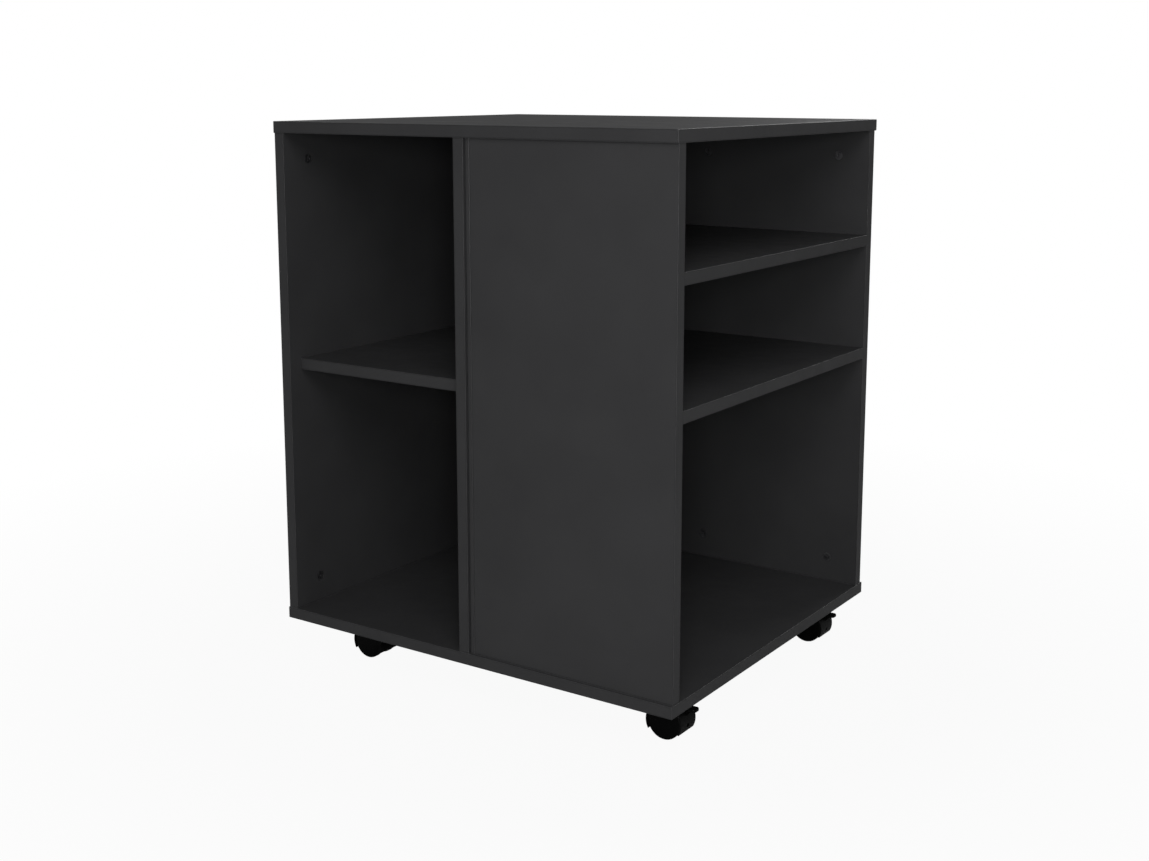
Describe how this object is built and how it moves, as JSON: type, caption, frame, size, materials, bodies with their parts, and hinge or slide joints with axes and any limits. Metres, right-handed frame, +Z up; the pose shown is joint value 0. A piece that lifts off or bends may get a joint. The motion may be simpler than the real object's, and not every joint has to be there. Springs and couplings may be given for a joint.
{
  "type": "mobile printer stand",
  "caption": "Open printer stand on swivel casters, with a shelved bay at the front and shelved compartments at the right side.",
  "frame": {"origin": "on the floor, under the middle of the stand", "axes": "+Z up, -Y to the open front with the left bay, +X to the side with the open compartments"},
  "size_m": [0.6, 0.53, 0.72],
  "materials": {
    "melamine_board": "matt black melamine-faced chipboard",
    "edge_lipping": "matt black edge lipping",
    "nylon_hood": "moulded black nylon, satin",
    "nylon_wheel": "moulded black nylon, satin",
    "nylon_lever": "moulded black nylon, satin",
    "zinc_steel": "zinc-plated",
    "cam_zinc": "black-plated die-cast zinc",
    "beech": "fluted beech dowel"
  },
  "bodies": {
    "cabinet": {"top_board": "melamine_board", "bottom_board": "melamine_board", "left_side_board": "melamine_board", "centre_divider": "melamine_board", "front_panel": "melamine_board", "front_panel_lipping": "edge_lipping", "rear_right_panel": "melamine_board", "rear_left_panel": "melamine_board", "left_shelf": "melamine_board", "right_upper_shelf": "melamine_board", "right_lower_shelf": "melamine_board", "cam_locks": "cam_zinc", "cam_bolts": "zinc_steel", "wooden_dowels": "beech", "shelf_pins": "zinc_steel", "caster_screws": "zinc_steel", "front_left_caster_plate": "zinc_steel", "front_left_caster_kingpin": "zinc_steel", "front_right_caster_plate": "zinc_steel", "front_right_caster_kingpin": "zinc_steel", "rear_left_caster_plate": "zinc_steel", "rear_left_caster_kingpin": "zinc_steel", "rear_right_caster_plate": "zinc_steel", "rear_right_caster_kingpin": "zinc_steel"},
    "front_left_caster": {"front_left_caster_hood": "nylon_hood", "front_left_caster_axle": "zinc_steel"},
    "front_left_wheel_a": {"front_left_caster_wheel_a": "nylon_wheel"},
    "front_left_wheel_b": {"front_left_caster_wheel_b": "nylon_wheel"},
    "front_right_caster": {"front_right_caster_hood": "nylon_hood", "front_right_caster_axle": "zinc_steel", "front_right_brake_pin": "zinc_steel"},
    "front_right_wheel_a": {"front_right_caster_wheel_a": "nylon_wheel"},
    "front_right_wheel_b": {"front_right_caster_wheel_b": "nylon_wheel"},
    "front_right_brake": {"front_right_brake_lever": "nylon_lever"},
    "rear_left_caster": {"rear_left_caster_hood": "nylon_hood", "rear_left_caster_axle": "zinc_steel"},
    "rear_left_wheel_a": {"rear_left_caster_wheel_a": "nylon_wheel"},
    "rear_left_wheel_b": {"rear_left_caster_wheel_b": "nylon_wheel"},
    "rear_right_caster": {"rear_right_caster_hood": "nylon_hood", "rear_right_caster_axle": "zinc_steel", "rear_right_brake_pin": "zinc_steel"},
    "rear_right_wheel_a": {"rear_right_caster_wheel_a": "nylon_wheel"},
    "rear_right_wheel_b": {"rear_right_caster_wheel_b": "nylon_wheel"},
    "rear_right_brake": {"rear_right_brake_lever": "nylon_lever"}
  },
  "joints": [
    {"name": "front_left_swivel", "type": "hinge", "parent": "cabinet", "child": "front_left_caster", "pos_m": [-0.2325, -0.193, 0.022], "axis": [0, 0, 1], "continuous": true},
    {"name": "front_left_wheel_a_spin", "type": "hinge", "parent": "front_left_caster", "child": "front_left_wheel_a", "pos_m": [-0.2085, -0.193, 0.022], "axis": [0, 1, 0], "continuous": true},
    {"name": "front_left_wheel_b_spin", "type": "hinge", "parent": "front_left_caster", "child": "front_left_wheel_b", "pos_m": [-0.2085, -0.193, 0.022], "axis": [0, 1, 0], "continuous": true},
    {"name": "front_right_swivel", "type": "hinge", "parent": "cabinet", "child": "front_right_caster", "pos_m": [0.2325, -0.193, 0.022], "axis": [0, 0, 1], "continuous": true},
    {"name": "front_right_wheel_a_spin", "type": "hinge", "parent": "front_right_caster", "child": "front_right_wheel_a", "pos_m": [0.2565, -0.193, 0.022], "axis": [0, 1, 0], "continuous": true},
    {"name": "front_right_wheel_b_spin", "type": "hinge", "parent": "front_right_caster", "child": "front_right_wheel_b", "pos_m": [0.2565, -0.193, 0.022], "axis": [0, 1, 0], "continuous": true},
    {"name": "front_right_brake_press", "type": "hinge", "parent": "front_right_caster", "child": "front_right_brake", "pos_m": [0.26551, -0.193, 0.037], "axis": [0, 1, 0], "range_deg": [0, 18]},
    {"name": "rear_left_swivel", "type": "hinge", "parent": "cabinet", "child": "rear_left_caster", "pos_m": [-0.2325, 0.193, 0.022], "axis": [0, 0, 1], "continuous": true},
    {"name": "rear_left_wheel_a_spin", "type": "hinge", "parent": "rear_left_caster", "child": "rear_left_wheel_a", "pos_m": [-0.2085, 0.193, 0.022], "axis": [0, 1, 0], "continuous": true},
    {"name": "rear_left_wheel_b_spin", "type": "hinge", "parent": "rear_left_caster", "child": "rear_left_wheel_b", "pos_m": [-0.2085, 0.193, 0.022], "axis": [0, 1, 0], "continuous": true},
    {"name": "rear_right_swivel", "type": "hinge", "parent": "cabinet", "child": "rear_right_caster", "pos_m": [0.2325, 0.193, 0.022], "axis": [0, 0, 1], "continuous": true},
    {"name": "rear_right_wheel_a_spin", "type": "hinge", "parent": "rear_right_caster", "child": "rear_right_wheel_a", "pos_m": [0.2565, 0.193, 0.022], "axis": [0, 1, 0], "continuous": true},
    {"name": "rear_right_wheel_b_spin", "type": "hinge", "parent": "rear_right_caster", "child": "rear_right_wheel_b", "pos_m": [0.2565, 0.193, 0.022], "axis": [0, 1, 0], "continuous": true},
    {"name": "rear_right_brake_press", "type": "hinge", "parent": "rear_right_caster", "child": "rear_right_brake", "pos_m": [0.26551, 0.193, 0.037], "axis": [0, 1, 0], "range_deg": [0, 18]}
  ]
}
